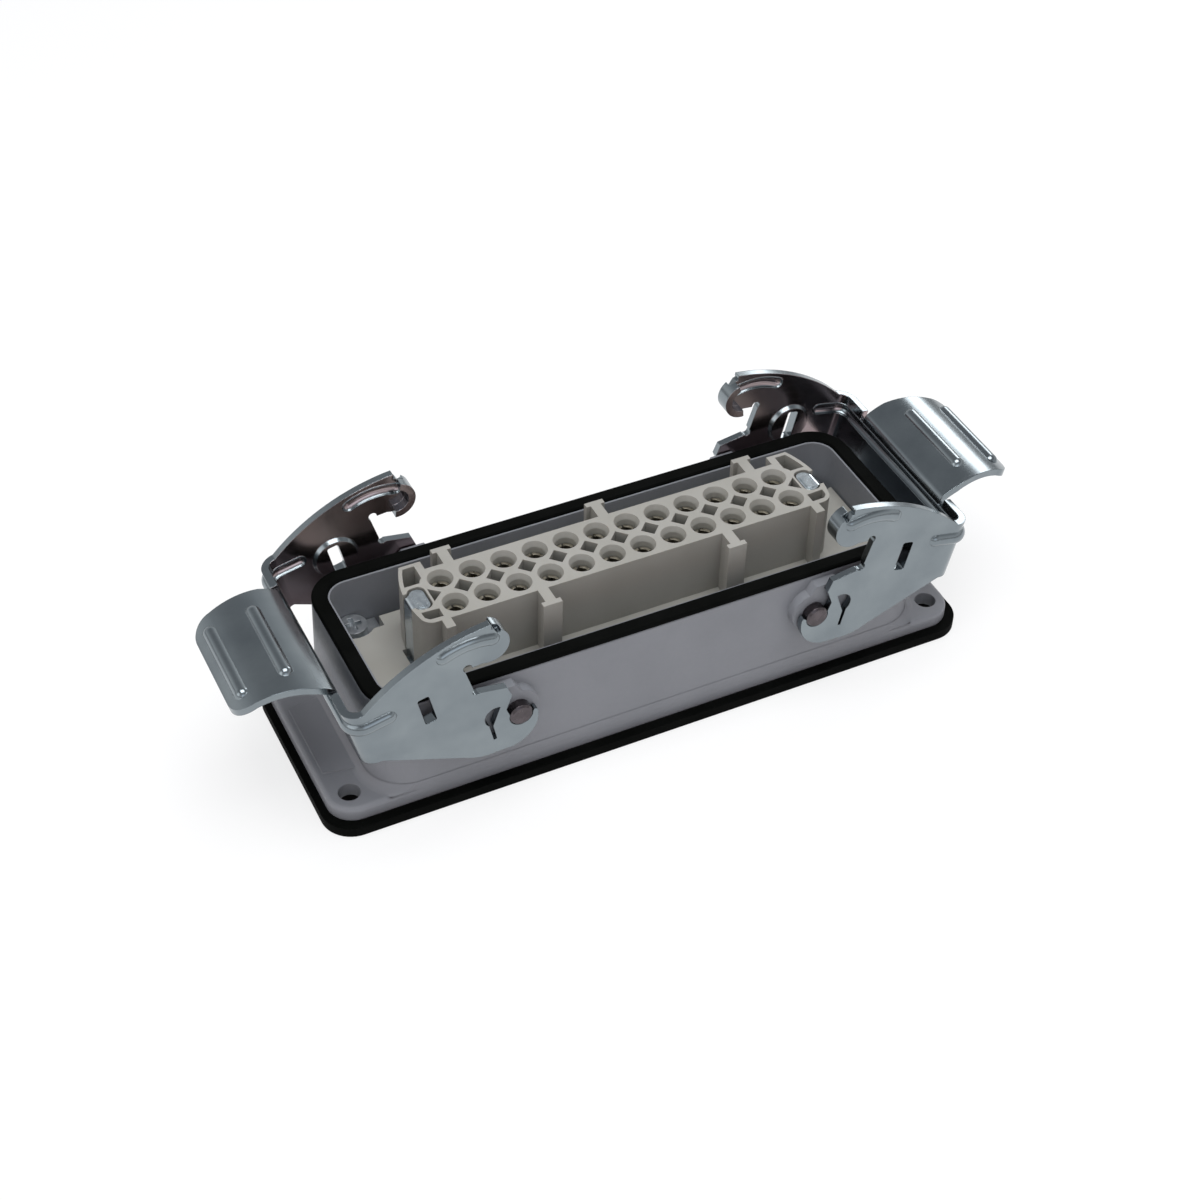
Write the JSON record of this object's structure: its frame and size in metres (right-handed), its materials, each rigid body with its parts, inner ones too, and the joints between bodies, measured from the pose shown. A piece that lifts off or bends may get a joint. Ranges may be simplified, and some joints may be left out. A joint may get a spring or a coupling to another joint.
{
  "type": "heavy duty rectangular connector",
  "caption": "Bulkhead half of a heavy duty rectangular connector: cast housing on a gasketed flange, two locking levers and a female screw-terminal insert.",
  "frame": {"origin": "centre of the flange gasket's underside, on the panel", "axes": "+X along the housing, +Y across it towards the rear, +Z out of the panel, the way the mating hood comes on and off"},
  "size_m": [0.169, 0.0504, 0.046],
  "materials": {
    "housing_coat": "grey powder coat on die-cast aluminium",
    "flange_seal": "black moulded rubber",
    "rim_seal": "black moulded rubber",
    "pin_steel": "turned steel",
    "lever_steel": "pressed and tumbled steel sheet",
    "insert_plastic": "pebble grey moulded plastic",
    "frame_steel": "zinc-plated pressed steel",
    "earth_strip": "silver-plated spring strip",
    "screw_steel": "zinc-plated screws",
    "contact_brass": "machined brass"
  },
  "bodies": {
    "housing_body": {"housing": "housing_coat", "flange_gasket": "flange_seal", "rim_gasket": "rim_seal", "pivot_pin_left_front": "pin_steel", "pivot_pin_left_rear": "pin_steel", "pivot_pin_right_front": "pin_steel", "pivot_pin_right_rear": "pin_steel", "insert_body": "insert_plastic", "end_frame_left": "frame_steel", "end_frame_right": "frame_steel", "earth_contact_left": "earth_strip", "earth_contact_right": "earth_strip", "earth_clamp_left": "frame_steel", "earth_clamp_right": "frame_steel", "earth_screw_left": "screw_steel", "earth_screw_right": "screw_steel", "fixing_screws": "screw_steel", "terminal_screws": "screw_steel", "contact_01": "contact_brass", "contact_02": "contact_brass", "contact_03": "contact_brass", "contact_04": "contact_brass", "contact_05": "contact_brass", "contact_06": "contact_brass", "contact_07": "contact_brass", "contact_08": "contact_brass", "contact_09": "contact_brass", "contact_10": "contact_brass", "contact_11": "contact_brass", "contact_12": "contact_brass", "contact_13": "contact_brass", "contact_14": "contact_brass", "contact_15": "contact_brass", "contact_16": "contact_brass", "contact_17": "contact_brass", "contact_18": "contact_brass", "contact_19": "contact_brass", "contact_20": "contact_brass", "contact_21": "contact_brass", "contact_22": "contact_brass", "contact_23": "contact_brass", "contact_24": "contact_brass"},
    "lever_left": {"lever_left": "lever_steel"},
    "lever_right": {"lever_right": "lever_steel"}
  },
  "joints": [
    {"name": "lever_left_hinge", "type": "hinge", "parent": "housing_body", "child": "lever_left", "pos_m": [-0.0324, 0, 0.0202], "axis": [0, 1, 0], "range_deg": [-18, 12.7]},
    {"name": "lever_right_hinge", "type": "hinge", "parent": "housing_body", "child": "lever_right", "pos_m": [0.0324, 0, 0.0202], "axis": [0, -1, 0], "range_deg": [-18, 12.7]}
  ]
}
